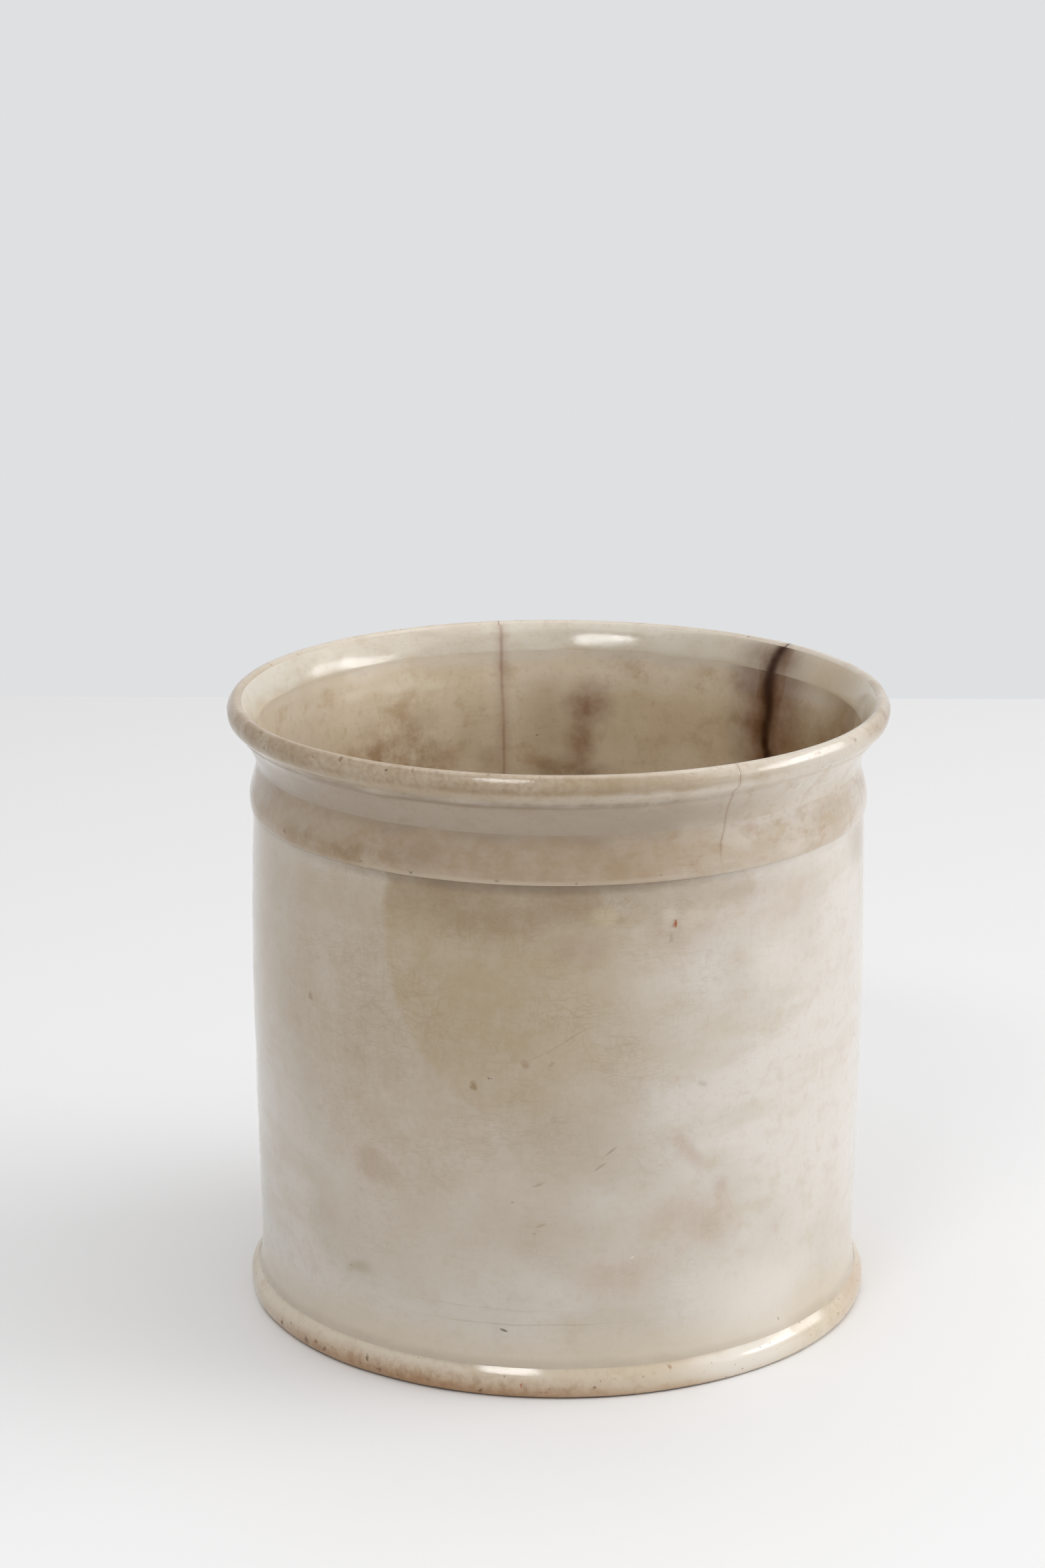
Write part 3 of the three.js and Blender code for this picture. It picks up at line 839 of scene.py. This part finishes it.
# Foot ring: a half-round bead under the wall, bare where it stands
footRing = {
    "recess": 66.0, "ringStep": 0.5, "setBack": 0.1,
    "heart": (2.6, 2.6),    # mm in from the widest point and up from the table
    "nicks": [
        (-60.3, 76.4, 1.6, 1.0, 0.2), (-51.6, 76.4, 1.4, 1.0, 0.2), (-46.5, 76.5, 2.0, 0.9, 0.15),
        (-35.8, 76.0, 4.0, 0.7, 0.15), (-33.1, 76.4, 1.6, 0.9, 0.18), (-13.5, 76.3, 1.1, 0.8, 0.15),
        (95, 76.2, 1.0, 1.6, 0.35), (-140, 76.4, 1.5, 1.3, 0.3), (170, 76.4, 1.2, 0.9, 0.2),
    ],
}
wide, ledge = footHigh.x - footRing["setBack"], wallLow.z
turnPiece(
    "foot_ring_fired", "foot_ring", (footRing["recess"], 0), [
        ("stand", (wide - 1.6, 0)),
        ("outer", (wide - 0.6, 0), (wide, 1.0), (wide, 2.6)),
        ("outer", (wide, 4.0), (wide - 0.45, 4.86), (wide - 1.0, 5.6)),
        ("outer", footSeam),
        ("raw", (footSeam[0] - 0.1, ledge)),
        ("raw", (footRing["recess"], ledge)),
        ("stand", (footRing["recess"], 0)),
    ], {"outer": footGlaze, "stand": clay, "raw": clay},
    footRing["ringStep"], footRing["nicks"], (wide - footRing["heart"][0], footRing["heart"][1]))

# Floor: a disc let into the wall
potFloor = {"ringStep": 1.6, "edge": 0.5, "sag": 0.3}
under, level, wide = floorLow.z, floorHigh.z, floorHigh.x
bottom = level - potFloor["sag"]
turnPiece(
    "pot_floor_fired", "pot_floor", (0, under), [
        ("under", (wide - potFloor["edge"], under)),
        ("raw", (wide, under + potFloor["edge"])),
        ("raw", (wide, level)),
        ("raw", floorSeam),
        ("inner", (50, level - potFloor["sag"] / 2), (25, bottom), (0, bottom)),
    ], {"inner": insideGlaze, "under": clay, "raw": clay}, potFloor["ringStep"])


# Stage: a pale painted table top whose far edge meets a pale grey surround
stageLook = {"width": 3.2, "front": -2.2, "back": 0.6, "paint": "#f4f4f5", "paintRough": 0.55,
             "surround": "#dfe0e2", "sky": "#f6f5f3", "skyLevel": 0.27}


def addStage(look):
    mesh = bpy.data.meshes.new("table_top")
    half = look["width"] / 2
    mesh.from_pydata([(-half, look["front"], 0), (half, look["front"], 0), (half, look["back"], 0),
                      (-half, look["back"], 0)], [], [(0, 1, 2, 3)])
    table = bpy.data.objects.new("table_top", mesh)
    scene.collection.objects.link(table)
    material = bpy.data.materials.new("satin_white_paint")
    material.use_nodes = True
    paint = material.node_tree.nodes["Principled BSDF"]
    paint.inputs["Base Color"].default_value = linear(look["paint"])
    paint.inputs["Roughness"].default_value = look["paintRough"]
    mesh.materials.append(material)
    world = bpy.data.worlds.new("pale_surround")
    world.use_nodes = True
    scene.world = world
    tree = world.node_tree
    tree.nodes.clear()
    add = partial(addNode, tree)
    path = add("LightPath")
    seen = add("Math", {0: path.outputs["Is Camera Ray"], 1: path.outputs["Is Glossy Ray"]},
               operation="MAXIMUM")
    seen = add("Math", {0: seen, 1: path.outputs["Is Transmission Ray"]}, operation="MAXIMUM")
    sky = add("Background", {"Color": linear(look["sky"]), "Strength": look["skyLevel"]})
    surround = add("Background", {"Color": linear(look["surround"]), "Strength": 1})
    both = add("MixShader", {0: seen, 1: sky, 2: surround})
    add("OutputWorld", {"Surface": both})


addStage(stageLook)

# Lights: a window to the right in a bright wall, a dimmer round one beyond it, a small oval one high
# in front, and a pale ceiling. A glow is the light that leaves the pane, in watts per m2 and steradian.
windows = {
    "right_window": {"turn": 87, "rise": 22.9, "away": 2.4, "wide": 1.04, "tall": 0.45, "glow": 7.2},
    "far_window": {"turn": 108, "rise": 20, "away": 2.4, "wide": 0.56, "tall": 0.5, "glow": 3.5,
                   "round": True},
    "right_wall": {"turn": 88, "rise": 30, "away": 2.6, "wide": 2.4, "tall": 2.0, "glow": 1.28},
    "front_window": {"turn": -21, "rise": 44, "away": 1.6, "wide": 0.54, "tall": 0.25, "glow": 11,
                     "round": True},
    "ceiling": {"turn": 0, "rise": 90, "away": 1.6, "wide": 2.0, "tall": 2.0, "glow": 1.4},
}
potMiddle = Vector((0, 0, 0.08))


def addWindow(name, window):
    turn, rise = math.radians(window["turn"]), math.radians(window["rise"])
    level = math.cos(rise)
    towards = Vector((math.sin(turn) * level, -math.cos(turn) * level, math.sin(rise)))
    lamp = bpy.data.lights.new(name, "AREA")
    lamp.shape = "ELLIPSE" if window.get("round") else "RECTANGLE"
    lamp.size, lamp.size_y = window["wide"], window["tall"]
    area = window["wide"] * window["tall"] * (math.pi / 4 if window.get("round") else 1)
    lamp.energy = window["glow"] * math.pi * area
    pane = bpy.data.objects.new(name, lamp)
    pane.location = potMiddle + towards * window["away"]
    pane.rotation_euler = towards.to_track_quat("Z", "Y").to_euler()
    pane.visible_camera = False
    scene.collection.objects.link(pane)


for name, window in windows.items():
    addWindow(name, window)
print("stage and windows set")
